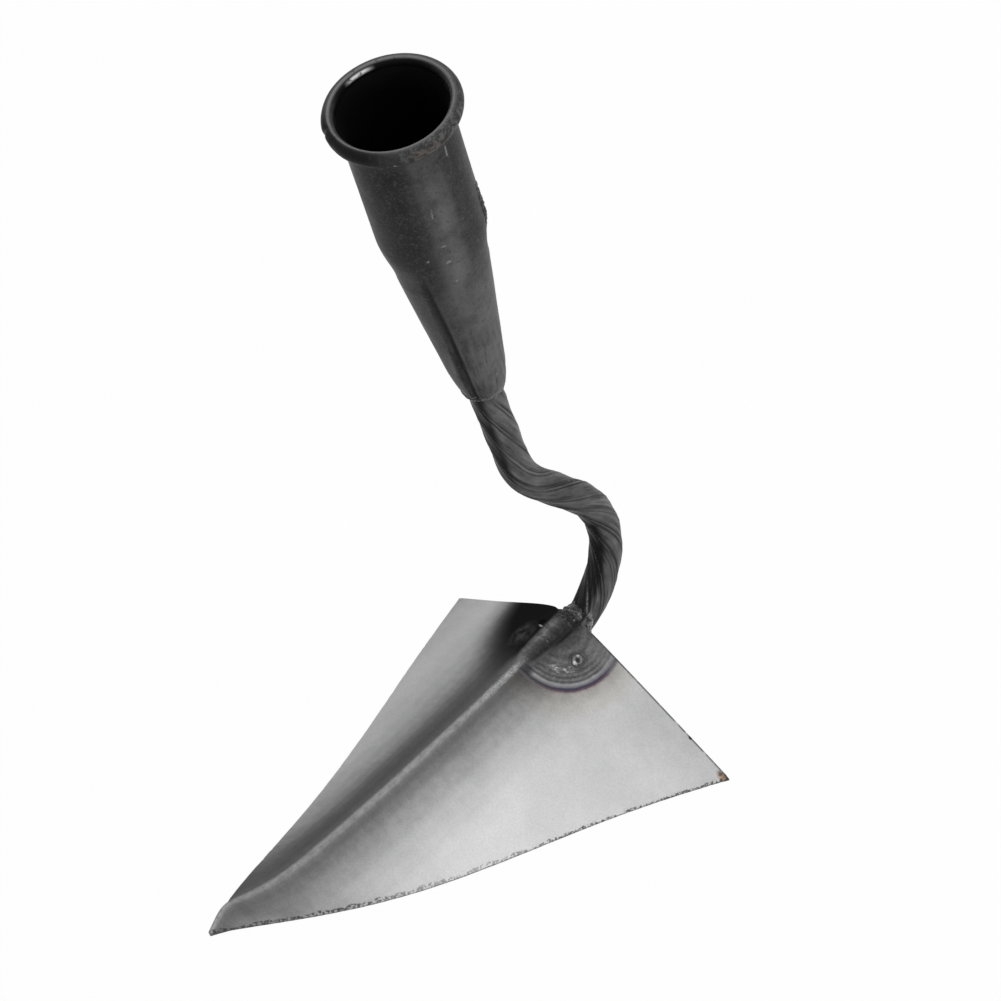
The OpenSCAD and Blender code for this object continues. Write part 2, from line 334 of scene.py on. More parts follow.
def gauss(distance, width):
    return math.exp(-(distance / width) ** 2)


def smooth(value, low, high):
    share = min(1.0, max(0.0, (value - low) / (high - low)))
    return share * share * (3 - 2 * share)


def rough(place, size, seed=0.0):
    # Smooth noise from about -1 to 1, with lumps of this size
    return noise.noise(Vector(place) / size + Vector((seed, seed * 1.7, -seed)))


def sheet(columns, rows, upper, lower, layers=()):
    # A closed plate between two surfaces, each a function of two shares from 0 to 1. The names in layers
    # become attributes, which upper and lower return after the point.
    bm = bmesh.new()
    bmesh.ops.create_grid(bm, x_segments=columns, y_segments=rows, size=1)
    kept = [bm.verts.layers.float.new(name) for name in layers]
    below = list(bm.verts)
    made = bmesh.ops.extrude_face_region(bm, geom=bm.faces[:], use_keep_orig=True)
    above = [item for item in made["geom"] if isinstance(item, bmesh.types.BMVert)]
    for verts, surface in ((below, lower), (above, upper)):
        for vert in verts:
            place, *values = surface((vert.co.x + 1) / 2, (vert.co.y + 1) / 2)
            vert.co = place
            for layer, value in zip(kept, values):
                vert[layer] = value
    return bm


def finishPiece(name, bm, material, node, sharpAngle):
    bmesh.ops.recalc_face_normals(bm, faces=bm.faces)
    for face in bm.faces:
        face.smooth = True
    mesh = bpy.data.meshes.new(name)
    bm.to_mesh(mesh)
    bm.free()
    mesh.transform(Matrix.Scale(mm, 4))
    mesh.set_sharp_from_angle(angle=math.radians(sharpAngle))
    mesh.materials.append(material)
    piece = bpy.data.objects.new(name, mesh)
    scene.collection.objects.link(piece)
    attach(piece, "root")
    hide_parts(node)


def spun(outline, steps, roundedEdges=None, mergeWithin=1e-4):
    # A ring from a closed outline of radii and heights, turned once round Z. The edges in the slice
    # roundedEdges are curved first.
    bm = bmesh.new()
    verts = [bm.verts.new((radius, 0.0, z)) for radius, z in outline]
    edges = [bm.edges.new((verts[i], verts[(i + 1) % len(verts)])) for i in range(len(verts))]
    if roundedEdges:
        bmesh.ops.subdivide_edges(bm, edges=edges[roundedEdges], cuts=4, smooth=1.0)
    bmesh.ops.spin(bm, geom=bm.verts[:] + bm.edges[:], cent=(0, 0, 0), axis=(0, 0, 1), dvec=(0, 0, 0),
                   angle=math.tau, steps=steps, use_merge=True, use_duplicate=False)
    bmesh.ops.remove_doubles(bm, verts=bm.verts, dist=mergeWithin)
    return bm


print("stage: neck bar")

socketSize = {
    "boreRadius": 14.25, "boreLength": 46.0, "wall": 1.5,
    "shoulderLength": 18.0, "shoulderRadius": 13.6, "coneLength": 43.0, "coneRadius": 9.0,
    "noseLength": 17.0, "noseRadius": 6.4,
    "lipOut": 17.95, "lipWide": 1.85, "lipTall": 2.6,  # middle radius and half sizes of the rolled bead
    "flareStart": -7.0,        # the bore widens from here up to the bead
    "beadFoot": -2.7,          # all of the bead lies above this height
    "flareWall": -8.0,         # the bore's flare lies above this height
    "noseEnd": -119.8,         # the nose closes on the bar here, under its weld
    "noseRound": 2.25,         # higher keeps the nose wide for longer
    "noseTaper": 1.35,         # how much the nose narrows before it closes
    "pleatDepth": 1.2, "pleatWidth": 1.25, "pleatAngle": 31.5,
    "pleatTop": 44.0, "pleatDeep": 88.0,              # it starts and is full this far below the mouth
    "fluteDepth": 0.06, "fluteWaves": 2.6,            # shallow marks beside the pleat
    "nickAngle": -29.0, "nickDepth": 0.5, "nickWidth": 3.0,    # dent in the bead's side
    "rimDrop": 0.8, "rimHigh": 58.0,    # the rolled rim drops by this much opposite its highest side
    "dents": 0.05, "grain": 0.02,      # depths of the large and small hammer dents
    "steps": 200,              # faces round the socket
    # Screen levels of painted light and shade by direction round the tube and the cone, counted from the -X
    # side, and by the way round the bead, from its inner side by its lower, outer and upper sides
    "tubeShading": [(0, 60), (140, 56), (166, 48), (186, 42), (202, 43), (220, 46), (229, 58), (241, 86),
                  (252, 97), (262, 86), (273, 60), (288, 50), (312, 58), (330, 60), (360, 60)],
    "coneShading": [(0, 60), (140, 66), (174, 76), (192, 63), (206, 58), (222, 70), (232, 80), (241, 88),
                  (256, 95), (278, 96), (300, 90), (330, 74), (360, 60)],
    "beadShading": [(0.1, 24), (0.25, 30), (0.38, 46), (0.48, 62), (0.62, 66), (0.67, 92), (0.71, 134),
                  (0.735, 118), (0.77, 72), (0.84, 54), (0.9, 30), (0.95, 14)],
    "nearSide": 58.5,          # direction of the side nearest to the viewer
    "sliver": -101.0,          # direction of the bright glint inside the rim
    "brownPlace": (76.0, -0.2), "brownSize": (17.0, 1.9),      # direction and height of the brown cast
}
bar = {
    "flats": 10.0, "corners": 6,
    "edge": 12,                # higher makes the section's corners sharper
    "pitch": 95.0,             # length of one turn of the twist
    "plain": 9.0,              # length that isn't twisted, before the tongue
    "inside": 22.0,            # length hidden in the socket
    "neck": 33.0, "lean": 2.5, "bend1": 39.0, "bendAngle": 31.0, "swan": 23.4, "bend2": 42.0,
    "bend3": 32.0, "tightAngle": 54.0, "bend4": 17.0, "tongue": 22.0, "taper": 0.6,
    "sides": 120, "rings": 420,
    "relief": 0.5,             # share of the corners left after forging
    "round": 5.2,              # mean radius
    "hollow": 0.1,             # hollow of each flat
    "grooveDepth": 0.26,       # creases beside each corner
    "grooveAngle": 6.0, "grooveWidth": 2.6,
    "lumps": 0.08, "grain": 0.04,      # heights of the forged surface's large and small lumps
    "shadeShare": 0.4, "shadeAngle": 13.0, "shadeWidth": 5.0,  # soft dark band at one side of a corner
    "glintStart": 144.0, "glintSide": 5.0, "glintTurn": 4.0,   # bright streak above the foot
    # Painted shade on the bar's darker sides: where it ends along the bar, and its borders round it
    "shadeUpper": ((56, 68), (-22, 6), (28, 54)),
    "shadeLower": ((98, 112), (30, 56)),
    "shadeInner": (-30, -75, 24), "shadeSpread": (122, 136),
    "shadeBack": ((58, 70), (98, 110), (105, 140)),
}
blade = {
    "length": 153.9, "width": 118.4, "tipWidth": 0.5, "thick": 1.8, "edge": 0.6, "bevel": 7.0,
    "wingDrop": 39.4, "tipRise": 12.7, "risePower": 2.6, "hollow": 1.5,
    "edgeBow": 0.47,           # higher bows the cutting edges out more near the point
    "edgeSag": 7.0, "sagPlace": 0.6,    # the sag is greatest at this share of the length
    "foldBack": 7.2, "foldFront": 2.1, "foldHalf": 24.0, "foldPower": 3.0,
    "drift": 10.4, "driftLength": 36.4, "driftShare": 0.97, "overhang": 1.7, "ridgeGap": 0.4,
    "columns": 300, "rows": 150,
    "leftTrim": 1.1,           # the left corner stands this far ahead of the back edge's middle
    "cornerRound": 0.2,        # how far the corners are rounded off
    "ribSide": 4.6, "ribMiddle": -0.5, "ribStraight": 8.0, "ribLength": 21.5,
    "ribPinch": 0.8, "pinchWidth": 1.1, "pinchEnd": 16.0,     # groove on each side of the rib
    "ribCrown": 0.25, "crownWidth": 2.6,                      # raised line along the rib's front half
    "discX": 2.5, "discY": 3.8, "discRadius": 18.4,   # heat ring on the right wing, round the bar's foot
    "ringDepth": 0.03, "ringWaves": 3.7,              # height and fineness of the ripples in it
    "slope": 1.2,              # a length across a wing is about this much longer on the wing itself
    "blobX": -12.0, "blobY": -4.1, "blobSlope": 1.22,    # middle of the burnt patch on the left wing
    "smear": (9.6, -9.2),                             # pale smear in the burnt patch
    "smearX": 11.5, "smearY": 10.0,                   # weld spatter beside the spot weld
    "dropX": 3.4, "dropY": -5.6, "dropRise": 0.6,     # drop of weld metal beside the rib
    "darkSpot": (19.2, 3.4),                          # below the rib's front end
    "rust": (-2.4, 57.6),                             # rusty right corner
    "edgeDot": (-3.4, 45.2),                          # black dot on the back edge
    "chip": 0.2,               # depth of the largest chips in the cutting edges
    "edgeLumps": 0.06,         # height of the burr along the right edge
    "waves": 0.12, "waveLength": 30.0,                # slow unevenness of the whole plate
    "splashY": 0.8, "splashHalf": 4.2, "splashRise": 0.45,     # weld metal spilled over the back edge
    # Screen levels of painted light and shade against the distance from the fold and across the rib, and
    # screen levels out from the heat ring's middle
    "leftWingShading": [(0, 108), (5, 98), (9, 103), (12.4, 114), (16, 132), (20, 148), (26, 168), (31, 182),
                  (40, 190), (50, 180), (60, 158)],
    "rightWingShading": [(0, 112), (3, 106), (5, 124), (8, 142), (10.5, 154), (14.3, 178), (18.4, 191),
                   (22, 202), (27, 206), (40, 209), (60, 212)],
    "ribShading": [(0.8, 34), (2.2, 62), (3.6, 104), (5.0, 118), (6.6, 96), (8.4, 76), (10.2, 58),
                 (11.2, 40)],
    "ringTones": [(0, 90), (4.5, 96), (6.5, 108), (8.0, 98), (9.4, 114), (10.8, 100), (12.0, 116),
                  (12.8, 98), (13.7, 114), (14.4, 96), (15.1, 120), (15.8, 100)],
    "strawFactors": [(18.6, (0.66, 0.63, 0.62)), (20.2, (0.80, 0.77, 0.73)),
                     (23.5, (0.93, 0.915, 0.87)), (29.0, (1.0, 1.0, 1.0))],
    "heatColours": [(16.6, (140, 140, 142)), (17.2, (124, 123, 128)), (17.9, (84, 80, 100)),
                    (18.5, (112, 92, 98)), (19.4, (140, 132, 126))],
}

tubeRadius = socketSize["boreRadius"] + socketSize["wall"]
coneZ = -socketSize["boreLength"] - socketSize["shoulderLength"]
noseZ = coneZ - socketSize["coneLength"]
endZ = noseZ - socketSize["noseLength"]
barRadius = bar["flats"] / 2


def arcLength(radius, angle):
    return radius * math.radians(abs(angle))


def straightOn(start, length):
    x, z, heading = start
    turn = math.radians(heading)
    return (x + length * math.sin(turn), z - length * math.cos(turn), heading)


def bendOn(start, radius, turn):
    x, z, heading = start
    first, last = math.radians(heading), math.radians(heading + turn)
    side = 1 if turn > 0 else -1
    return (x + side * radius * (math.cos(first) - math.cos(last)),
            z - side * radius * (math.sin(last) - math.sin(first)), heading + turn)


course = {    # the bar from its hidden end: length of a straight and 0, or radius and turn of a bend
    "inside": (bar["inside"], 0), "leaning": (0, -bar["lean"]), "neck": (bar["neck"], 0),
    "bend1": (bar["bend1"], bar["lean"] - bar["bendAngle"]), "swan": (bar["swan"], 0),
    "bend2": (bar["bend2"], bar["bendAngle"]), "bend3": (bar["bend3"], bar["tightAngle"]),
    "bend4": (bar["bend4"], 90 - bar["tightAngle"]), "tongue": (bar["tongue"], 0),
}
starts = {}                    # length from the hidden end, and place with heading, where each begins
barLength, place = 0.0, (0.0, endZ + bar["inside"], 0.0)
for name, (size, turn) in course.items():
    starts[name] = (barLength, place)
    place = bendOn(place, size, turn) if turn else straightOn(place, size)
    barLength += arcLength(size, turn) if turn else size
neckS, bend4S = starts["neck"][0], starts["bend4"][0]
tongueS, tongueStart = starts["tongue"]


def centreAt(s):
    # Place and heading of the bar's centreline at length s from its hidden end
    name = [name for name in course if starts[name][0] <= max(s, 0.0)][-1]
    (size, turn), (begin, place) = course[name], starts[name]
    if turn == 0:
        return straightOn(place, s - begin)
    return bendOn(place, size, math.copysign(math.degrees((s - begin) / size), turn))


cornerStep = 360 / bar["corners"]
seatGap = 0.2                  # clearance between seated pieces


def flatShare(angle):
    turns = [math.radians(angle - i * cornerStep) for i in range(bar["corners"] // 2)]
    return sum(abs(math.cos(turn)) ** bar["edge"] for turn in turns)


def barSection(angle):
    # Radius at this angle from the middle of a flat: a hexagon with eased corners
    return barRadius * (flatShare(0) / flatShare(angle)) ** (1 / bar["edge"])


def twistAt(s):
    return 360 * min(0.0, s - tongueS + bar["plain"]) / bar["pitch"]


def barScale(s):
    if s < tongueS:
        return 1.0
    return 1 - (1 - bar["taper"]) * ((s - tongueS) / bar["tongue"]) ** 1.5


def onBar(s, side, radius):
    # Point at this radius from the centreline; side 0 is the front or top, and 90 the +Y side
    x, z, heading = centreAt(s)
    out, tilt = math.radians(side), math.radians(heading)
    return Vector((x + radius * math.cos(out) * math.cos(tilt), radius * math.sin(out),
                   z + radius * math.cos(out) * math.sin(tilt)))


def cornerOffset(angle):
    # Degrees from the nearest corner of the section
    return angle % cornerStep - cornerStep / 2


holeRadius = barSection(cornerStep / 2) + seatGap


def barShadeAt(s, side):
    # Painted shade: the bar is darkened on its front, above and below the swan, and a little on its back
    # between them
    end, left, right = bar["shadeUpper"]
    upper = (1 - smooth(s, *end)) * smooth(side, *left) * (1 - smooth(side, *right))
    start, right = bar["shadeLower"]
    narrow, wide, soft = bar["shadeInner"]
    inner = narrow + (wide - narrow) * smooth(s, *bar["shadeSpread"])
    lower = smooth(s, *start) * smooth(side, inner, inner + soft) * (1 - smooth(side, *right))
    start, end, border = bar["shadeBack"]
    behind = 0.35 * smooth(s, *start) * (1 - smooth(s, *end)) * smooth(side, *border)
    return max(upper, lower, behind)


def glintAt(s, side):
    start = bar["glintStart"]
    middle = bar["glintSide"] + bar["glintTurn"] * (s - start - 1)
    return gauss(side - middle, 2.4) * smooth(s, start, start + 5) * (1 - smooth(s, start + 9, start + 11))


def makeNeckBar():
    bm = bmesh.new()
    bmesh.ops.create_cone(bm, cap_ends=True, segments=bar["sides"], radius1=1, radius2=1, depth=1)
    long = [edge for edge in bm.edges if abs(edge.verts[0].co.z - edge.verts[1].co.z) > 0.5]
    bmesh.ops.subdivide_edges(bm, edges=long, cuts=bar["rings"], use_grid_fill=True)
    crease, corner, soot, glint = (bm.verts.layers.float.new(name) for name in
                                   ("crease", "corner", "soot", "glint"))
    straightened = bm.verts.layers.float_vector.new("straightened")
    for vert in bm.verts:
        s = (0.5 - vert.co.z) * barLength
        local = math.degrees(math.atan2(vert.co.y, vert.co.x))
        off = abs(cornerOffset(local))
        line = gauss(off - bar["grooveAngle"], bar["grooveWidth"])
        worked = smooth(s, neckS - 2, neckS + 3) * (1 - smooth(s, tongueS - 3, tongueS + 4))
        radius = (bar["round"] + (barSection(local) - bar["round"]) * bar["relief"]) * barScale(s)
        wave = 0.7 + 0.6 * rough((s, local * 0.3, 1), 16.0)
        radius -= bar["grooveDepth"] * line * worked * wave
        radius -= bar["hollow"] * worked * smooth(off, 8, cornerStep / 2)
        side = local + twistAt(s)
        place = onBar(s, side, radius)
        lumps = bar["lumps"] * rough(place, 5.0) + bar["grain"] * rough(place, 1.8, 3.0) - 0.05
        radius += worked * lumps
        vert.co = onBar(s, side, radius)
        shade = bar["shadeShare"] * gauss(cornerOffset(local) - bar["shadeAngle"], bar["shadeWidth"])
        vert[crease] = (line + shade) * worked * wave
        vert[corner] = gauss(off, 4.0)
        side = (side + 180) % 360 - 180
        vert[soot] = barShadeAt(s, side)
        vert[glint] = glintAt(s, side)
        around = math.radians(local)
        vert[straightened] = (barRadius * math.cos(around), barRadius * math.sin(around), s)
    finishPiece("twistedNeckBar", bm, forgedSteel(), "neck_bar", 60)


def forgedSteel():
    # Dark forge scale, drawn into streaks along the twist, with painted shade on the darker sides and in
    # the creases, and corners rubbed pale and lit by a painted highlight
    finish = Finish("forgedScaleSteel", specular=0.08)
    cloud = finish.grain(7.0, 4.0, 0.6)
    fine = finish.grain(0.6, 2.0)
    lay = finish.node("ShaderNodeAttribute", {"attribute_name": "straightened"}, None, "Vector")
    streak = finish.laid(lay, 1.1, 0.09)
    fold = finish.laid(lay, 2.6, 0.07)
    tone = finish.ramp(cloud, greys(1, [(0.3, 92), (0.5, 110), (0.72, 128)]))
    tone = finish.flecked(tone, fold, (0.48, 0.3, 0.85, 44))
    tone = finish.flecked(tone, streak, (0.54, 0.68, 0.7, 146), (0.47, 0.32, 0.7, 42))
    # Painted shade, streaked, on the bar's darker sides
    darkened = finish.mix(streak.level(0.54, 0.72), grey(24), grey(72))
    tone = finish.mix(finish.attribute("soot") * 0.96, tone, darkened)
    # Pale corners: rubbed steel, with a painted highlight where they catch the light
    tone = finish.over(tone, finish.attribute("corner") * fine.level(0.4, 0.6) * 0.4, 124)
    # Painted shade in the creases and beside the corners
    tone = finish.over(tone, (finish.attribute("crease") * 1.1).clamped(), 24)
    tone = finish.over(tone, finish.attribute("glint") * fine.level(0.35, 0.55), 150)
    height = cloud * 0.5 + fine * 0.25 + streak * 0.9 + fold * 0.8
    return finish.feed(colour=tone, roughness=cloud.level(0.2, 0.8) * 0.15 + 0.38,
                       normal=finish.bump(height, 0.5, 0.3))


print("stage: blade")

bladeX = tongueStart[0] - blade["overhang"]
ridgeZ = tongueStart[1] + barRadius + blade["ridgeGap"] + blade["thick"]


def halfWidth(u):
    return blade["width"] / 2 * (1 - u) * (1 + blade["edgeBow"] * u ** 3) + blade["tipWidth"] / 2 * u


def crestZ(u):
    return ridgeZ + blade["tipRise"] * u ** blade["risePower"]


def edgeZ(u):
    sag = (u / blade["sagPlace"]) ** 3 * ((1 - u) / (1 - blade["sagPlace"])) ** 2
    return ridgeZ - blade["wingDrop"] + (blade["wingDrop"] + blade["tipRise"]) * u - blade["edgeSag"] * sag


def foldRadius(u):
    spread = (u * blade["length"] / blade["foldHalf"]) ** blade["foldPower"]
    return blade["foldFront"] + (blade["foldBack"] - blade["foldFront"]) / (1 + spread)


def crestY(u):
    drift = blade["drift"] * max(0.0, 1 - (1 - u) * blade["length"] / blade["driftLength"]) ** 2
    most = blade["driftShare"] * halfWidth(u)
    return -drift / (1 + (drift / most) ** 4) ** 0.25


def rounded(distance, radius):
    return math.hypot(distance, radius) - radius


def plateZ(u, y):
    off = y - crestY(u)
    span = halfWidth(u) - math.copysign(1, off) * crestY(u)
    q = rounded(off, foldRadius(u)) / max(rounded(span, foldRadius(u)), 1e-6)
    hollow = 4 * blade["hollow"] * math.sin(math.pi * u) * q * (1 - q)
    return crestZ(u) - (crestZ(u) - edgeZ(u)) * q - hollow


def plateTilt(u, y):
    return math.atan((plateZ(u, y + 0.05) - plateZ(u, y - 0.05)) / 0.1)


def plateThickness(u, y):
    bevel = min(blade["bevel"], halfWidth(u) * 0.3)
    share = min(1.0, max(0.0, halfWidth(u) - abs(y)) / bevel)
    return blade["edge"] + (blade["thick"] - blade["edge"]) * share


def sideAt(u, v):
    # Side of the share v from 0 at the left edge to 1 at the right one, closer together at the fold
    across = 2 * v - 1
    crest = crestY(u)
    reach = math.copysign(halfWidth(u), across) - crest
    return crest + reach * abs(across) ** (1.7 - 0.7 * u)


def alongAt(share):
    # Rows of points are closer together at the back
    return share ** 1.25


def ribSideAt(x):
    # Half width of the rib, which narrows to the ridge at its front end
    share = min(1.0, max(0.0, (x - blade["ribStraight"]) / (blade["ribLength"] - blade["ribStraight"])))
    return blade["ribSide"] * (1 - share ** 2.6) ** 0.5


def bladePoint(share, v, under):
    u = alongAt(share)
    y = sideAt(u, v)
    across = 0.0 if halfWidth(u) == 0 else y / halfWidth(u)
    trim = blade["leftTrim"] * smooth(-y, 6, 40) * (1 - u) ** 6
    corner = blade["cornerRound"] * smooth(abs(across), 0.975, 1.0) * (1 - smooth(u, 0.0, 0.02))
    x = bladeX + u * blade["length"] + trim + corner
    z = plateZ(u, y)
    fromEdge = halfWidth(u) - y
    if not under:
        off = y - blade["ribMiddle"]
        pinch = gauss(abs(off) - ribSideAt(x), blade["pinchWidth"])
        z -= blade["ribPinch"] * pinch * (1 - smooth(x, blade["pinchEnd"], blade["ribLength"]))
        crown = gauss(off, blade["crownWidth"]) * smooth(x, 4, 12) * (1 - smooth(x, 18, blade["ribLength"]))
        z += blade["ribCrown"] * crown
        z += 0.04 * gauss(off, 3.0) * gauss(x - 9, 4.0) * math.sin(x * 2.1 + y * 0.4)
        z += blade["dropRise"] * gauss(math.hypot(x - blade["dropX"], y - blade["dropY"]), 1.0)
        z += blade["edgeLumps"] * gauss(fromEdge, 1.2) * rough((x, y, 3), 1.1)
        splash = (1 - smooth(x, -2.4, 0.6)) * gauss(y - blade["splashY"], blade["splashHalf"])
        z += splash * (blade["splashRise"] * rough((x, y, 4), 1.3) + 0.25 * rough((x, y, 6), 0.6) + 0.1)
    disc = math.hypot(x - blade["discX"], (y - blade["discY"]) / math.cos(plateTilt(u, y)))
    ringed = (1 - smooth(disc, blade["discRadius"] - 2.5, blade["discRadius"])) * smooth(y, 4, 7)
    z += blade["ringDepth"] * ringed * math.sin(disc * blade["ringWaves"])
    uneven = blade["waves"] * rough((x, y, 0), blade["waveLength"])
    z += uneven * math.sin(math.pi * min(u * 3, 0.5)) * (1 - u)
    edge = smooth(abs(across), 0.965, 1.0)
    chips = max(0.0, rough((x, y, 7), 1.7, 5.0) - 0.15) + 0.5 * max(0.0, rough((x, y, 9), 4.0, 2.0))
    if u > 0.005:
        y -= math.copysign(blade["chip"] * chips * edge * min(1.0, halfWidth(u) / 6), y)
    if under:
        z -= plateThickness(u, y) / max(0.6, math.cos(plateTilt(u, y)))
    return (Vector((x, y, z)), u, 0.0 if under else 1.0, y - crestY(u), fromEdge)


def makeBlade():
    bm = sheet(blade["columns"], blade["rows"],
               lambda share, v: bladePoint(share, v, False),
               lambda share, v: bladePoint(share, v, True), ("along", "top", "offFold", "fromEdge"))
    finishPiece("foldedBlade", bm, bladeSteel(), "blade", 35)


def wingShading(finish, x, off, along):
    # Pale wings with painted light and shade, darker along the fold and at the back, and darker towards the
    # point
    leftShade = finish.ramp(-off / 60.0, greys(60, blade["leftWingShading"]))
    rightShade = finish.ramp(off / 60.0, greys(60, blade["rightWingShading"]))
    # Painted shade at the back of the right wing
    backShade = finish.ramp(x / 60.0, factors((0.0, 0.72), (0.33, 0.84), (0.7, 0.97), (1.0, 1.0)))
    tone = finish.mix(off.level(-0.9, 0.3), leftShade, finish.times(rightShade, backShade))
    tipDark = finish.ramp(along, factors((0.66, 0.0), (0.78, 0.25), (0.86, 0.45), (0.94, 0.6)))
    return finish.over(tone, tipDark, 106)


def foldWearAndHighlight(finish, tone, x, off, speckle):
    # A bright line along the fold, worn steel with a painted highlight, with a softer painted highlight
    # band on its right and sparks of bare steel
    paleShare = finish.grain(1.3, 4.0, 0.75, stretch=(0.5, 1.0, 1.0)).level(0.34, 0.6)
    lower = x.level(11.0, 24.0)
    line = abs(off - 0.5).level(1.7, 0.2) * lower * (x.level(120.0, 40.0) * 0.35 + 0.65)
    band = off.level(5.5, 1.0) * off.level(-0.8, 0.4) * lower
    tone = finish.over(tone, band * 0.25, 150)
    tone = finish.over(tone, line * (0.35 + paleShare * 0.65), 158)
    return finish.over(tone, x.level(52.0, 20.0) * line * speckle.level(0.5, 0.64) * 0.7, 205)


def burntAndShadedPatch(finish, tone, x, y, patchy):
    # Burnt patch on the left wing, deepened by painted shade, with a faint pale smear in it
    reach = ((x - blade["blobX"]) ** 2 + ((y - blade["blobY"]) * blade["blobSlope"]) ** 2) ** 0.5
    darkened = (reach + (patchy - 0.5) * 0.8).level(44.0, 24.0) * y.level(-1.5, -5.0)
    smear = finish.spot(x, y, blade["smear"], (5.6, 4.2)) * patchy.level(0.3, 0.7)
    return finish.mix(darkened, tone, finish.mix(smear, grey(35), grey(80)))


def shadedRubbedRib(finish, tone, x, y, acrossRib, patchy):
    # The rib over the bar's foot, with painted light and shade across it, painted shade on each side and
    # rubbed marks across it
    rib = abs(acrossRib).level(5.4, 3.9) * x.level(23.0, 12.0)
    # Painted highlight along the rib and painted shade at its sides
    ribShade = finish.ramp((acrossRib + 6.0) / 12.0, greys(12, blade["ribShading"]))
    marks = finish.grain(2.2, 4.0, 0.7, stretch=(1.0, 0.3, 1.0))
    ribShade = finish.times(ribShade, finish.between(marks.level(0.35, 0.65), 0.72, 1.25))
    for at in (8.4, 7.0):
        scuff = abs(x - at + y * 0.2 + (marks - 0.5) * 3.0).level(0.5, 0.1)
        scuff = scuff * abs(y).level(2.8, 1.2) * patchy.level(0.4, 0.6)
        ribShade = finish.over(ribShade, scuff * 0.55, 150)
    return finish.mix(rib * 0.96, tone, ribShade)


def heatRing(finish, tone, x, y, patchy):
    # Heat ring on the right wing: dull inside, then a pale ring, purple, and straw further out
    ringAt = ((x - blade["discX"]) ** 2 + ((y - blade["discY"]) * blade["slope"]) ** 2) ** 0.5
    wobble = ringAt + (patchy - 0.5) * 0.5
    rightSide = y.level(3.0, 4.6).larger(x.level(18.0, 20.0) * y.level(1.0, 2.2))
    straw = finish.ramp(wobble / 30.0, [(at / 30, colour) for at, colour in blade["strawFactors"]])
    tone = finish.mix(rightSide, tone, finish.times(tone, straw))
    heat = [(at / 26, shown(*colour)) for at, colour in blade["heatColours"]]
    rings = finish.ramp(wobble / 26.0, greys(26, blade["ringTones"]) + heat)
    rings = finish.mix(y.level(15.0, 6.0) * 0.75, rings, finish.lightness(rings))
    worked = finish.between(finish.grain(1.2, 4.0, 0.7).level(0.35, 0.65), 0.88, 1.12)
    rings = finish.mix(wobble.level(17.5, 15.0), rings, finish.times(rings, worked))
    # Painted shade in the ring beside the rib
    rings = finish.over(rings, y.level(9.0, 4.0) * ringAt.level(17.0, 13.0) * 0.25, 60)
    rings = finish.over(rings, x.level(4.5, -1.0) * y.level(8.0, 13.0) * 0.5, 126)
    return finish.mix(wobble.level(19.4, 18.5) * rightSide, tone, rings)


def craterDistance(x, y):
    # Distance from the spot weld's middle, measured on the sloping wing
    return ((x - bladeX - weld["spotX"]) ** 2 + ((y - weld["spotY"]) * blade["slope"]) ** 2) ** 0.5


def weldMarks(finish, tone, x, y, z, acrossRib, patchy):
    # Wisps of spatter and a dark ring at the spot weld, painted shade in the grooves beside the rib, the
    # splash, and painted shade and highlight on the drop
    slant = finish.vector((x + y) * 0.7, z * 0.3, (x - y) * 0.7)
    wisps = finish.laid(slant, 0.75, 0.4)
    middle = (blade["smearX"] + blade["smearY"], blade["smearX"] - blade["smearY"])
    spatter = finish.spot(x + y, x - y, middle, (1.8, 5.8)) * wisps.level(0.53, 0.62)
    tone = finish.over(tone, spatter * 0.8, 176)
    ring = abs(craterDistance(x, y) - 2.8).level(0.8, 0.1)
    tone = finish.over(tone, ring * patchy.level(0.35, 0.6) * 0.35, 42)
    # Painted shade in the grooves beside the rib
    ribSeamShade = abs(abs(acrossRib) - 5.0).level(1.0, 0.2) * x.level(11.0, 4.0)
    tone = finish.over(tone, ribSeamShade * 0.75, 34)
    splash = x.level(1.4, -1.8) * abs(y - blade["splashY"]).level(6.5, 3.5)
    splashTones = greys(1, [(0.32, 30), (0.5, 62), (0.62, 96), (0.74, 180)])
    tone = finish.mix(splash * 0.85, tone, finish.ramp(finish.grain(1.0, 4.0, 0.7), splashTones))
    # Painted shade on the drop's dark side, then a painted highlight on its lit side
    for ahead, right, size, level in ((-0.3, -0.3, (1.3, 1.1), 22), (1.1, 0.5, (0.35, 1.0), 150)):
        drop = finish.spot(x, y, (blade["dropX"] + ahead, blade["dropY"] + right), size)
        tone = finish.over(tone, drop, level)
    return tone


def stains(finish, tone, x, y):
    # A stain below the rib's front end, the rusty corner and a dot on the back edge
    tone = finish.mix(finish.spot(x, y, blade["darkSpot"], (1.5, 2.0)) * 0.7, tone, shown(58, 56, 66))
    rustTones = [(0.35, shown(84, 68, 56)), (0.65, shown(158, 128, 96))]
    rust = finish.spot(x, y, blade["rust"], (1.5, 1.9)) * 0.9
    tone = finish.mix(rust, tone, finish.ramp(finish.grain(1.0, 3.0, 0.6), rustTones))
    return finish.over(tone, finish.spot(x, y, blade["edgeDot"], (0.7, 0.6)), 26)


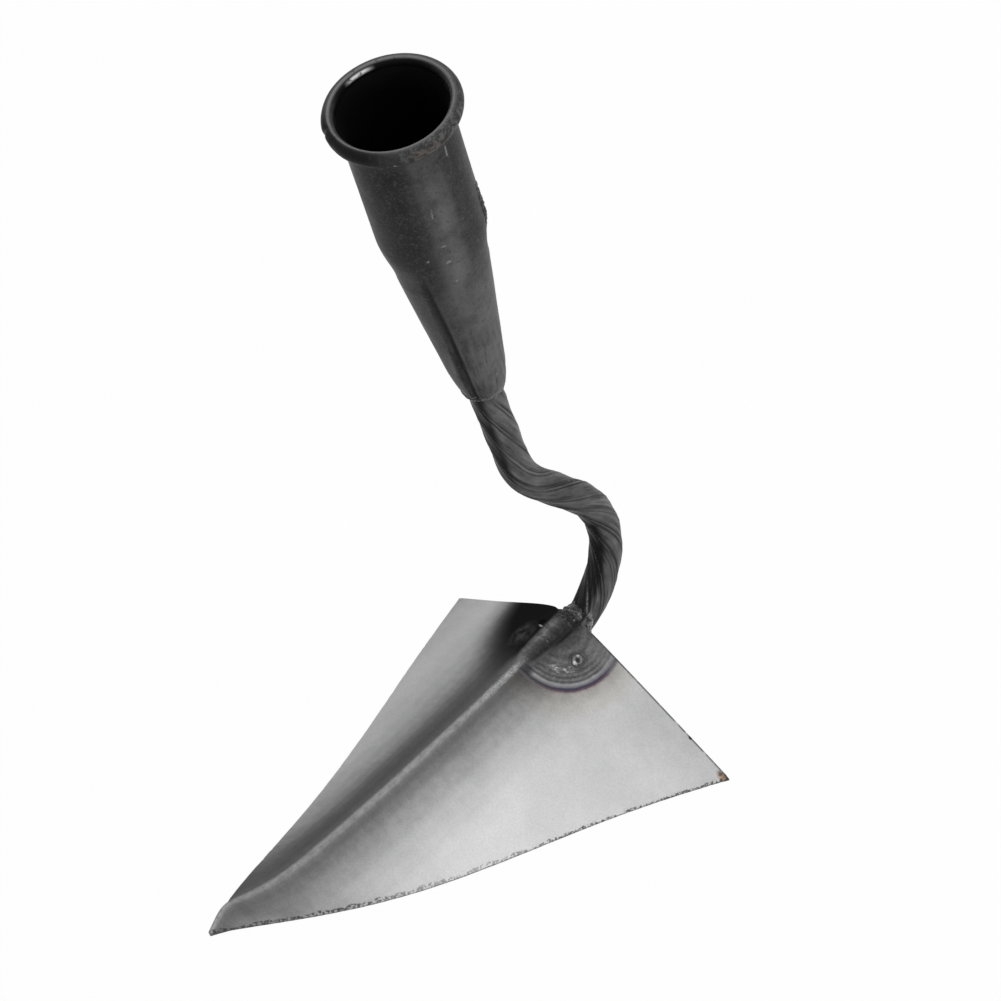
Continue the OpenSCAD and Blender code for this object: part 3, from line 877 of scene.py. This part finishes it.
def bladeSteel():
    # Bright rolled plate: pale on the wings and dark along the fold in painted light and shade, burnt where
    # it was welded, with painted shade in the burnt patch
    finish = Finish("groundBladeSteel", specular=0.0)
    x, y, z = finish.axes()
    along, top, off, fromEdge = (finish.attribute(name) for name in ("along", "top", "offFold", "fromEdge"))
    speckle = finish.grain(0.6, 2.0, 0.7)
    cloud = finish.grain(22.0, 3.0, 0.5)
    patchy = finish.grain(2.4, 3.0, 0.6)
    brushed = finish.grain(3.0, 4.0, 0.6, stretch=(1.0, 0.25, 1.0), turn=(0, 0, 18))
    narrowing = factors((0.0, 0.95), (0.35, 0.9), (0.6, 0.76), (0.8, 0.55), (0.95, 0.36))
    acrossRib = (y - blade["ribMiddle"]) / finish.ramp(x / 24.0, narrowing)
    tone = foldWearAndHighlight(finish, wingShading(finish, x, off, along), x, off, speckle)
    tone = burntAndShadedPatch(finish, tone, x, y, patchy)
    tone = shadedRubbedRib(finish, tone, x, y, acrossRib, patchy)
    tone = heatRing(finish, tone, x, y, patchy)
    tone = weldMarks(finish, tone, x, y, z, acrossRib, patchy)
    tone = stains(finish, tone, x, y)
    speckled = finish.mix(speckle.level(0.35, 0.65), (0.94, 0.94, 0.945), (1.04, 1.04, 1.055))
    tone = finish.times(tone, speckled)
    pale = finish.lightness(tone).level(0.05, 0.3)
    tone = finish.flecked(tone, brushed, (0.35, 0.7, pale * 0.08, 232))
    # Ragged dark burr along the ground edge and a thin one along the back edge
    reachIn = fromEdge + (finish.grain(5.0, 2.0) - 0.5) * 2.2
    crumbs = finish.grain(0.9, 2.0, 0.6).level(0.44, 0.54)
    burrReach = x.level(40.0, 100.0) * 0.7 + 0.4
    burr = (reachIn - burrReach).level(0.2, -0.25) * crumbs
    burr = burr * (0.85 - (x.level(40.0, 75.0) - x.level(90.0, 115.0)) * 0.35)
    tone = finish.mix(burr, tone, shown(62, 59, 57))
    backBurr = along.level(0.005, 0.0015) * y.level(6.0, 9.0) * patchy.level(0.3, 0.5)
    tone = finish.over(tone, backBurr * 0.8, 58)
    tone = finish.mix((1 - top) * 0.6, tone, finish.ramp(cloud, greys(1, [(0.3, 96), (0.7, 140)])))
    height = speckle * 0.5 + brushed * 0.5 + cloud * 0.6 + crumbs * fromEdge.level(2.0, 0.8) * 0.8
    return finish.feed(colour=tone, roughness=0.36 + cloud.level(0.3, 0.7) * 0.12,
                       metallic=pale * 0.5, normal=finish.bump(height, 0.18, 0.12))


print("stage: socket")

lipInner = socketSize["lipOut"] - socketSize["lipWide"]    # the mouth's radius inside the bead


def beadPoints(first, last, steps):
    # Points round the oval bead, by angles from straight out
    size = socketSize
    turns = [math.radians(first + (last - first) * i / steps) for i in range(steps + 1)]
    return [(size["lipOut"] + size["lipWide"] * math.cos(turn), size["lipTall"] * math.sin(turn))
            for turn in turns]


def linePoints(first, last, steps):
    return [tuple(a + (b - a) * i / steps for a, b in zip(first, last)) for i in range(steps)]


def socketProfile():
    # Outline of the wall: from the bore over the flared lip and its rolled bead, then down the outside
    size = socketSize
    flare = []
    for i in range(14):
        share = i / 14
        widening = (lipInner - size["boreRadius"]) * (1 - math.cos(math.pi / 2 * share))
        flare.append((size["boreRadius"] + widening, size["flareStart"] * (1 - share)))
    bead = beadPoints(180, -140, 56)
    neckIn = (tubeRadius + 0.12, bead[-1][1] - 0.5)
    shoulderTop = (tubeRadius, -size["boreLength"])
    shoulder = []
    for i in range(18):
        share = (1 + math.cos(math.pi * i / 18)) / 2
        shoulder.append((size["shoulderRadius"] + (tubeRadius - size["shoulderRadius"]) * share,
                         -size["boreLength"] - size["shoulderLength"] * i / 18))
    noseLong = noseZ - size["noseEnd"]
    nose = []
    for i in range(33):
        share = math.sin(math.pi / 2 * i / 32)
        wide = (1 - share ** size["noseRound"]) ** (1 / size["noseRound"]) if share < 1 else 0.0
        straight = size["coneRadius"] - size["noseTaper"] * share
        nose.append((size["noseRadius"] + (straight - size["noseRadius"]) * wide, noseZ - noseLong * share))
    cone = linePoints((size["shoulderRadius"], coneZ), (size["coneRadius"], noseZ), 44)
    tube = linePoints(neckIn, shoulderTop, 40)
    inside = [(holeRadius, size["noseEnd"]), (holeRadius, noseZ),
              (size["coneRadius"] - size["wall"], noseZ + 4)]
    boreEnd = (size["boreRadius"], -size["boreLength"])
    throat = linePoints((size["shoulderRadius"] - size["wall"], coneZ), boreEnd, 6)
    bore = linePoints(boreEnd, (size["boreRadius"], size["flareStart"]), 16)
    return flare + bead + tube + shoulder + cone + nose + inside + throat + bore


def aroundAt(place):
    return math.degrees(math.atan2(place.y, place.x))


def pleatOffset(place):
    # Distance round the socket from the pleat's middle
    off = (aroundAt(place) - socketSize["pleatAngle"] + 180) % 360 - 180
    return math.radians(off) * math.hypot(place.x, place.y)


def dentSocket(place, outside):
    # The pleat, the flutes beside it, small hammer dents and the nick in the bead
    size = socketSize
    radius, z = math.hypot(place.x, place.y), place.z
    off = pleatOffset(place)
    inward = 0.0
    if outside and z < -size["pleatTop"]:
        deep = smooth(-z, size["pleatTop"], size["pleatDeep"]) * (1 - 0.4 * smooth(-z, 112, 124))
        inward += size["pleatDepth"] * deep * gauss(off, size["pleatWidth"])
        inward += 0.5 * deep * gauss(off + 4.0, 3.4)
        flutes = math.sin(off * size["fluteWaves"]) * smooth(off, 3, 7) * (1 - smooth(off, 14, 18))
        inward += size["fluteDepth"] * flutes * smooth(-z, 84, 96) * (1 - smooth(-z, 112, 120))
    if outside:
        inward += size["dents"] * (1 + rough(place, 9.0)) + size["grain"] * (1 + rough(place, 2.0, 4.0))
        around = aroundAt(place)
        if z > -3.2:
            outer = smooth(radius, 17.5, 19.0)
            inward += size["nickDepth"] * gauss(around - size["nickAngle"], size["nickWidth"]) * outer
            inward += 0.12 * (1 + rough(place, 1.4, 6.0)) * gauss(around + 14, 12.0) * outer
        slant = (1 - math.cos(math.radians(around - size["rimHigh"]))) / 2
        z -= size["rimDrop"] * slant * smooth(z, -6, -2)
    share = (radius - inward) / radius
    return Vector((place.x * share, place.y * share, z))


def wallMiddle(z):
    # A radius between the wall's two faces, which lies just inside the outer one at the flare
    size = socketSize
    if z > size["flareWall"]:
        return tubeRadius - 0.1
    middle = size["boreRadius"] + size["wall"] / 2
    if z > -size["boreLength"]:
        return middle
    share = min(1.0, (-z - size["boreLength"]) / (-endZ - size["boreLength"]))
    return middle + (6.0 - middle) * share


def makeSocket():
    size = socketSize
    bm = spun(socketProfile(), size["steps"])
    inner, pleat, lip = (bm.verts.layers.float.new(name) for name in ("inside", "pleat", "lip"))
    for vert in bm.verts:
        radius, z = math.hypot(vert.co.x, vert.co.y), vert.co.z
        onLip = radius > lipInner - 0.01 and z > size["beadFoot"]
        outside = onLip or (radius > wallMiddle(z) - 0.2 and z < -1.6)
        # The pleat attribute marks the pleat's crease, which is painted dark as shade
        vert[pleat] = gauss(pleatOffset(vert.co), 1.15) * smooth(-z, 48, 68) if outside else 0.0
        vert[lip] = 1.1 if z > size["flareWall"] and not outside else -1.0
        if onLip:    # half turns round the bead from straight out
            turn = math.atan2(z / size["lipTall"], (radius - size["lipOut"]) / size["lipWide"])
            vert[lip] = turn / math.pi
        # The inside attribute marks where the bore is painted dark as shade
        vert[inner] = 1 - smooth(z, 0.3, 1.5) if onLip and radius < lipInner + 0.45 else float(not outside)
        vert.co = dentSocket(vert.co, outside)
    finishPiece("rolledSocket", bm, oxideSteel(), "socket", 60)


flecks = [    # pale scratches: direction round the socket, height, and half sizes in degrees and mm
    (46.7, -1.5, 2.0, 0.5), (98.9, -9.9, 1.2, 1.6), (64.7, -41.2, 3.2, 0.35), (64.5, -48.2, 3.4, 0.5),
    (63.1, -27.8, 1.0, 1.3), (44.3, -45.9, 1.4, 0.4), (90.9, -109.2, 1.6, 0.5), (67.0, -58.5, 1.6, 0.6),
]


def beadColour(finish, around, lip, mottle, fine):
    # The bead: painted light and shade round it, painted shade on its near lower left, paler mottled flecks
    # on its right, and painted shade on the far side's inner face
    tone = finish.ramp((lip + 1.0) / 2.2, greys(1, socketSize["beadShading"], 1.2))
    tone = finish.flecked(tone, mottle, (0.5, 0.68, 0.4, 112), (0.44, 0.3, 0.5, 34))
    # Painted shade on the bead's near lower left
    lowerLeftShade = abs(around + 4.0).level(58.0, 22.0) * lip.level(0.64, 0.46)
    tone = finish.over(tone, lowerLeftShade * 0.8, 14)
    paleShare = abs(around - 92.0).level(52.0, 20.0) * 0.5
    tone = finish.flecked(tone, mottle + fine * 0.5, (0.72, 0.84, paleShare, 128))
    # Painted shade on the inner face of the bead's far side
    farSideShade = around.sum("COSINE", (around - socketSize["nearSide"]) * math.radians(1)).level(-0.1, -0.75)
    return finish.over(tone, lip.level(0.6, 0.74) * farSideShade, 18)


def oxideSteel():
    # Blue-black mill oxide with painted light and shade round it, pale scuffs, a brown cast near the mouth
    # and painted shade in the pleat's crease and in the bore
    size = socketSize
    finish = Finish("millOxideSteel", specular=0.05)
    x, y, z = finish.axes()
    cloud = finish.grain(8.0, 5.0, 0.62)
    fine = finish.grain(0.55, 3.0, 0.6)
    mottle = finish.grain(1.7, 4.0, 0.7)
    around = y.sum("ARCTAN2", y, x) * math.degrees(1)
    turn = (around + 180.0) / 360.0
    # Painted light and shade by direction round the tube and the cone; the tube is made lighter further
    # below the mouth
    tubeShade, coneShade = (finish.ramp(turn, greys(360, size[name])) for name in ("tubeShading", "coneShading"))
    tone = finish.mix(z.level(-52.0, -72.0), tubeShade, coneShade)
    tone = finish.times(tone, finish.between(z.level(-14.0, -32.0), 1.1, 1.35))
    darker = finish.mix(cloud.level(0.3, 0.68), (0.72, 0.72, 0.73), (1.28, 1.28, 1.27))
    tone = finish.times(tone, darker)
    tone = finish.flecked(tone, mottle, (0.52, 0.72, 0.4, 112), (0.46, 0.3, 0.4, 34))
    tone = finish.flecked(tone, fine, (0.56, 0.72, 0.45, 118), (0.44, 0.28, 0.45, 34))
    drawn = finish.grain(1.5, 3.0, 0.6, stretch=(1.0, 1.0, 0.08))
    fluted = z.level(-78.0, -98.0)
    tone = finish.flecked(tone, drawn, (0.5, 0.64, fluted * 0.5, 122), (0.47, 0.33, fluted * 0.6, 46))
    tone = finish.flecked(tone, finish.grain(0.4, 1.0), (0.6, 0.72, 0.3, 130))
    lip = finish.attribute("lip")
    # Painted light on the tube under the bead, where the bead's shadow falls
    tone = finish.over(tone, z.level(-9.0, -5.0) * 0.35, 92)
    tone = finish.mix(z.level(-2.9, -2.3), tone, beadColour(finish, around, lip, mottle, fine))
    brown = finish.spot(around, z, size["brownPlace"], size["brownSize"]) * mottle.level(0.35, 0.6)
    tone = finish.mix(brown * 0.6, tone, shown(116, 104, 98))
    for angle, height, wide, tall in flecks:
        scratch = finish.spot(around + (mottle - 0.5) * wide * 2, z + (mottle - 0.5) * 8 * tall,
                              (angle, height), (wide, tall))
        tone = finish.over(tone, scratch * 0.8, 165)
    # Painted shade in the crease of the pleat
    tone = finish.over(tone, finish.attribute("pleat") * 0.85, 22)
    # Painted highlights: pale strokes along the nose's lower edge
    noseEdgeHighlight = (z + (mottle - 0.5) * 2.0).level(-117.6, -118.8) * 0.7
    tone = finish.flecked(tone, mottle + fine * 0.5, (0.66, 0.8, noseEdgeHighlight, 158))
    # Painted shade: the inside of the bore is dark
    tone = finish.over(tone, finish.attribute("inside"), 14)
    sliver = abs(around - size["sliver"]).level(19.0, 6.0) * abs(z - 0.9).level(0.9, 0.3)
    sliver = sliver * mottle.level(0.3, 0.5) * lip.level(0.66, 0.8)
    tone = finish.over(tone, sliver, 225)
    height = cloud * 0.5 + fine * 0.35 + mottle * 0.5
    return finish.feed(colour=tone, roughness=cloud.level(0.3, 0.7) * 0.14 + 0.36,
                       metallic=sliver * 0.8, normal=finish.bump(height, 0.35, 0.25))


print("stage: welds")

weld = {
    "crownThick": 1.9,         # a weld this thick on the bar meets the blade's back edge at crownS
    "noseHeight": 1.1, "noseOut": 6.75, "noseLap": 0.35, "noseUnder": 0.3,
    "seamWidth": 3.4, "seamHeight": 0.75, "seamLength": 21.0, "seamMiddle": -43.0, "seamAngle": 137.0,
    "filletLength": 17.0, "filletLeg": 4.0, "filletStart": 1.0,
    "spotRadius": 2.3, "spotHeight": 0.8, "spotX": 9.5, "spotY": 11.5,
    "crater": [(0.02, -0.3), (1.0, -0.3), (1.0, 0.1), (0.86, 0.55), (0.62, 1.0), (0.42, 0.7), (0.22, 0.12),
               (0.02, 0.05)],  # the spot weld's outline in shares of its radius and height
    "sink": 0.45,              # how far a weld's borders run down into what it joins
}
# The welds round the bar's foot: ends along the bar from crownS, sides round it, and how far the second
# end is turned against the first
footWelds = {
    "crownWeldNugget": {"node": "crown_weld", "ends": (-6.5, 1.7), "sides": (-56, 38), "slant": 0,
                        "thick": weld["crownThick"] + 0.2, "metal": ("crownWeldMetal", 44, 140),
                        "seed": 1.0},
    # The right toe weld's metal is paler than the others: a painted highlight
    "rightToeWeld": {"node": "right_toe_weld", "ends": (-7.5, 0.8), "sides": (42, 82), "slant": 46,
                     "thick": 1.5, "metal": ("rightToeMetal", 92, 205, 0.5), "seed": 2.0},
    "leftToeWeld": {"node": "left_toe_weld", "ends": (-5.5, 0.8), "sides": (-100, -54), "slant": 0,
                    "thick": 1.5, "metal": ("leftToeMetal", 40, 110), "seed": 3.0},
}
crownReach = (blade["overhang"] + seatGap) / (bar["bend4"] - barRadius - weld["crownThick"])
crownS = bend4S + arcLength(bar["bend4"], math.degrees(math.acos(crownReach)) - bar["tightAngle"])


def weldMetal(name, dark, pale, metallic=0.2):
    finish = Finish(name, metallic=metallic, specular=0.3)
    lump = finish.grain(1.5, 4.0, 0.7)
    fine = finish.grain(0.4, 2.0)
    tone = finish.ramp(lump, greys(1, [(0.32, dark), (0.52, (dark * 2 + pale) / 3), (0.68, pale)]))
    tone = finish.flecked(tone, fine, (0.62, 0.74, 0.5, min(225, pale + 60)))
    return finish.feed(colour=tone, roughness=lump.level(0.3, 0.7) * -0.15 + 0.42,
                       normal=finish.bump(lump * 0.7 + fine * 0.4, 0.7, 0.35))


def craterMetal():
    # The spot weld: a dark hole off its middle, a bright broken ring with painted highlights and a dull
    # outside
    finish = Finish("craterMetal", metallic=0.2, specular=0.3)
    x, y, _ = finish.axes()
    lump = finish.grain(1.1, 3.0, 0.6)
    reach = craterDistance(x, y) + (lump - 0.5) * 1.2
    tones = [(0, 26), (0.4, 36), (0.8, 112), (1.3, 146), (1.7, 98), (2.1, 76), (2.4, 92)]
    tone = finish.ramp(reach / 2.6, greys(2.6, tones))
    ahead, right = bladeX + weld["spotX"], weld["spotY"]
    front = finish.spot(x, y, (ahead + 1.4, right + 0.1), (0.6, 0.65))
    back = finish.spot(x, y, (ahead - 0.9, right - 0.5), (0.5, 0.45))
    # Painted highlights on the crater's ring
    tone = finish.over(tone, (front + back * 0.7).clamped() * lump.level(0.3, 0.55), 236)
    return finish.feed(colour=tone, roughness=lump.level(0.3, 0.7) * -0.1 + 0.4,
                       normal=finish.bump(lump, 0.6, 0.3))


def makeFootWeld(name, size):
    first, last = (crownS + end for end in size["ends"])
    left, right = size["sides"]
    full = size["thick"] + weld["sink"]

    def seat(u, v):
        s = first + (last - first) * u
        side = left + (right - left) * v + size["slant"] * (u - 0.5)
        return s, side, barSection(side - twistAt(s)) * barScale(s) - weld["sink"]

    def inner(u, v):
        s, side, low = seat(u, v)
        return (onBar(s, side, low - 0.1),)

    def outer(u, v):
        s, side, low = seat(u, v)
        place = onBar(s, side, low + full)
        away = math.hypot(max(0.0, (0.7 - u) / 0.7), 2 * v - 1) + 0.28 * rough(place, 2.0, size["seed"] + 4)
        body = (1 - smooth(away, 0.25, 1.05)) * (1 - 0.4 * smooth(u, 0.94, 1.0))
        lumps = 0.74 + 0.4 * rough(place, 1.5, size["seed"]) + 0.24 * rough(place, 0.6, size["seed"])
        return (onBar(s, side, low + full * body * min(1.0, lumps)),)

    bm = sheet(56, 56, outer, inner)
    finishPiece(name, bm, weldMetal(*size["metal"]), size["node"], 70)


def makeNoseWeld():
    inside = holeRadius - weld["noseUnder"]
    top = socketSize["noseEnd"] + weld["noseLap"]
    outline = [(inside, top)]
    for i in range(13):
        turn = math.radians(90 * i / 12)
        outline.append((inside + (weld["noseOut"] - inside) * math.cos(turn),
                        top - weld["noseHeight"] * math.sin(turn)))
    bm = spun(outline, 200)
    for vert in bm.verts:
        ragged = 0.5 * rough(vert.co, 2.2, 8.0) + 0.4 * rough(vert.co, 0.9, 2.0)
        if vert.co.z < top - 0.05:
            vert.co.z = top - (top - vert.co.z) * (0.85 + 0.7 * ragged)
        if math.hypot(vert.co.x, vert.co.y) > holeRadius:
            vert.co.xy *= 1 + 0.045 * ragged
    # Pale weld metal: painted highlights on the nose weld
    finishPiece("noseWeldRing", bm, weldMetal("noseWeldHighlitMetal", 62, 225), "nose_weld", 70)


def socketRadiusAt(z):
    # Outer radius of the tube and its shoulder
    size = socketSize
    share = min(1.0, max(0.0, (-z - size["boreLength"]) / size["shoulderLength"]))
    wider = (tubeRadius - size["shoulderRadius"]) * (1 + math.cos(math.pi * share)) / 2
    return size["shoulderRadius"] + wider


def makeSeamWeld():
    def place(u, v, height):
        wander = 0.4 * rough((u * 9, 0, 0), 1.0, 3.0)
        turn = math.radians(weld["seamAngle"]) + ((v - 0.5) * weld["seamWidth"] + wander) / tubeRadius
        z = weld["seamMiddle"] + (u - 0.5) * weld["seamLength"]
        radius = socketRadiusAt(z) + height
        return Vector((radius * math.cos(turn), radius * math.sin(turn), z))

    def inner(u, v):
        return (place(u, v, -0.3),)

    def outer(u, v):
        body = math.sqrt(max(0.0, math.sin(math.pi * u) * math.sin(math.pi * v)))
        lumps = 0.7 + 0.5 * rough(place(u, v, 0), 1.3, 2.0) + 0.2 * rough(place(u, v, 0), 0.5, 2.0)
        return (place(u, v, -0.25 + (weld["seamHeight"] + 0.25) * body * min(1.0, lumps)),)

    bm = sheet(110, 24, outer, inner)
    finishPiece("seamWeldBead", bm, weldMetal("seamWeldMetal", 22, 52), "seam_weld", 70)


def makeUnderWeld(name, node, side):
    def corner(share, out, down):
        ahead = weld["filletStart"] + weld["filletLength"] * share
        u = (tongueStart[0] + ahead - bladeX) / blade["length"]
        leg = weld["filletLeg"] * (0.45 + 0.55 * math.sin(math.pi * share))
        y = barSection(90) * barScale(tongueS + ahead) + seatGap + leg * out
        z = plateZ(u, y) - plateThickness(u, y) / math.cos(plateTilt(u, y)) - seatGap
        return Vector((tongueStart[0] + ahead, side * y, z - leg * down))

    def inner(share, v):
        # Along the wing first, then down the bar's flank
        return (corner(share, max(0.0, 1 - 2 * v), max(0.0, 2 * v - 1)),)

    def outer(share, v):
        turn = math.pi / 2 * v
        place = corner(share, math.cos(turn), math.sin(turn))
        bulge = 1 - 0.3 * math.sin(math.pi * v) * (1 + 0.5 * rough(place, 1.5, 6.0))
        return (corner(share, math.cos(turn) * bulge, math.sin(turn) * bulge),)

    bm = sheet(60, 24, outer, inner)
    bmesh.ops.remove_doubles(bm, verts=bm.verts, dist=1e-4)
    finishPiece(name, bm, weldMetal(name + "Metal", 58, 110), node, 70)


def makeSpotWeld():
    bm = spun([(radius * weld["spotRadius"], z * weld["spotHeight"]) for radius, z in weld["crater"]],
              72, roundedEdges=slice(1, 7), mergeWithin=2e-3)
    u = weld["spotX"] / blade["length"]
    seat = Vector((bladeX + weld["spotX"], weld["spotY"], plateZ(u, weld["spotY"])))
    turn = Matrix.Rotation(plateTilt(u, weld["spotY"]), 4, "X")
    for vert in bm.verts:
        if vert.co.z > 0.05:
            vert.co.z *= 0.9 + 0.6 * rough(vert.co, 0.9, 3.0)
            vert.co.x *= 1 + 0.1 * rough(vert.co, 1.5, 1.0)
        vert.co = seat + turn @ vert.co
    finishPiece("spotWeldCrater", bm, craterMetal(), "spot_weld", 70)


makeSocket()
makeNeckBar()
makeBlade()
makeNoseWeld()
makeSeamWeld()
for name, size in footWelds.items():
    makeFootWeld(name, size)
makeUnderWeld("rightUnderWeld", "right_under_weld", 1)
makeUnderWeld("leftUnderWeld", "left_under_weld", -1)
makeSpotWeld()

print("stage: done")
